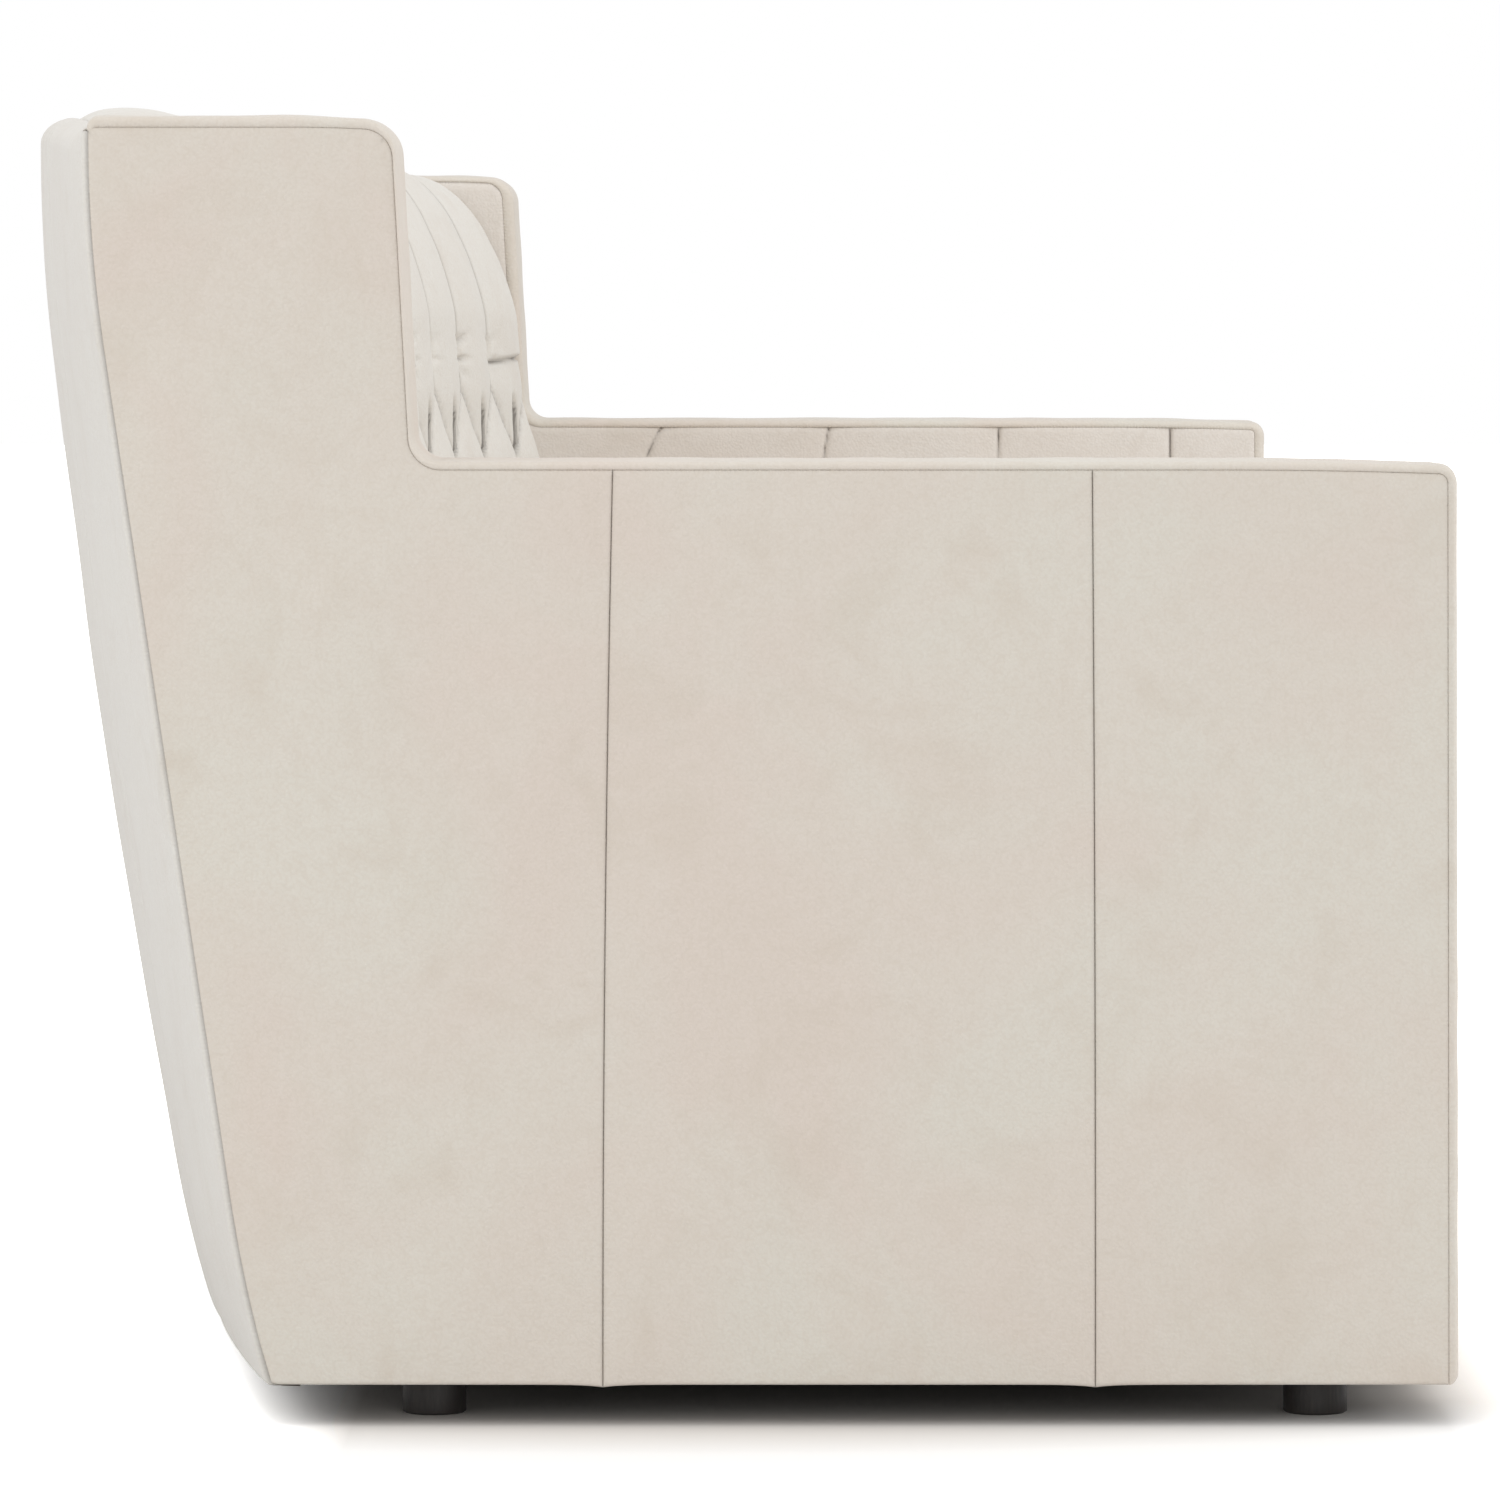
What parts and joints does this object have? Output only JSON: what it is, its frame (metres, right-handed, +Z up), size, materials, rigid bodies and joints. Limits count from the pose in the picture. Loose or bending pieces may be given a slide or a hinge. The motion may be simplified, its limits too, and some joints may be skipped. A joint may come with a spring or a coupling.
{
  "type": "sofa",
  "caption": "Wide leather sofa with straight padded arms, small wings, a bowed deep-tufted back, loose seat cushions and low round feet.",
  "frame": {"origin": "on the floor, under the middle of the outer box in X and Y", "axes": "+X along the sofa's width, towards the right arm as one faces the front; the seat faces -Y; +Z up"},
  "size_m": [2.29, 0.9926, 0.866],
  "materials": {
    "cream_leather": "fine pebbled grain, soft satin",
    "outer_back_leather": "fine pebbled grain, soft satin",
    "foam": "open-cell foam, matte",
    "hardwood": "sawn, unfinished",
    "black_cloth": "non-woven, matte",
    "jute_webbing": "woven, matte",
    "spring_steel": "drawn wire",
    "dark_foot": "dark stain, satin",
    "zip_tape": "woven tape"
  },
  "bodies": {
    "sofa_frame": {"back_top_rail": "hardwood", "back_webbing_panel": "jute_webbing", "centre_cross_rail": "hardwood", "centre_foot": "dark_foot", "deck_cover": "cream_leather", "deck_pad": "foam", "dust_cover": "black_cloth", "front_border_cover": "cream_leather", "front_rail": "hardwood", "inside_back_cover": "cream_leather", "inside_back_foam": "foam", "left_arm_foam": "foam", "left_arm_front_post": "hardwood", "left_arm_top_rail": "hardwood", "left_border_strip": "cream_leather", "left_bottom_rail": "hardwood", "left_front_foot": "dark_foot", "left_front_leg_plate": "hardwood", "left_inner_side_cover": "cream_leather", "left_rear_foot": "dark_foot", "left_rear_leg_plate": "hardwood", "left_rear_post": "hardwood", "left_side_panel_front": "cream_leather", "left_side_panel_middle": "cream_leather", "left_side_panel_rear": "cream_leather", "left_wing_frame": "hardwood", "outer_back_panel_1": "outer_back_leather", "outer_back_panel_2": "outer_back_leather", "outer_back_panel_3": "outer_back_leather", "outer_back_panel_4": "outer_back_leather", "outer_back_panel_5": "outer_back_leather", "outer_back_panel_6": "outer_back_leather", "outer_back_panel_7": "outer_back_leather", "rear_bottom_rail": "hardwood", "right_arm_foam": "foam", "right_arm_front_post": "hardwood", "right_arm_top_rail": "hardwood", "right_border_strip": "cream_leather", "right_bottom_rail": "hardwood", "right_front_foot": "dark_foot", "right_front_leg_plate": "hardwood", "right_inner_side_cover": "cream_leather", "right_rear_foot": "dark_foot", "right_rear_leg_plate": "hardwood", "right_rear_post": "hardwood", "right_side_panel_front": "cream_leather", "right_side_panel_middle": "cream_leather", "right_side_panel_rear": "cream_leather", "right_wing_frame": "hardwood", "seat_rear_rail": "hardwood", "seat_spring_unit": "spring_steel"},
    "left_seat_cushion": {"left_seat_cushion_casing": "cream_leather", "left_seat_cushion_core": "foam", "left_seat_cushion_zip": "zip_tape"},
    "right_seat_cushion": {"right_seat_cushion_casing": "cream_leather", "right_seat_cushion_core": "foam", "right_seat_cushion_zip": "zip_tape"}
  },
  "joints": [
    {"name": "left_cushion_lift", "type": "slide", "parent": "sofa_frame", "child": "left_seat_cushion", "axis": [0, 0, 1], "range_m": [0, 0.34]},
    {"name": "right_cushion_lift", "type": "slide", "parent": "sofa_frame", "child": "right_seat_cushion", "axis": [0, 0, 1], "range_m": [0, 0.34]}
  ]
}
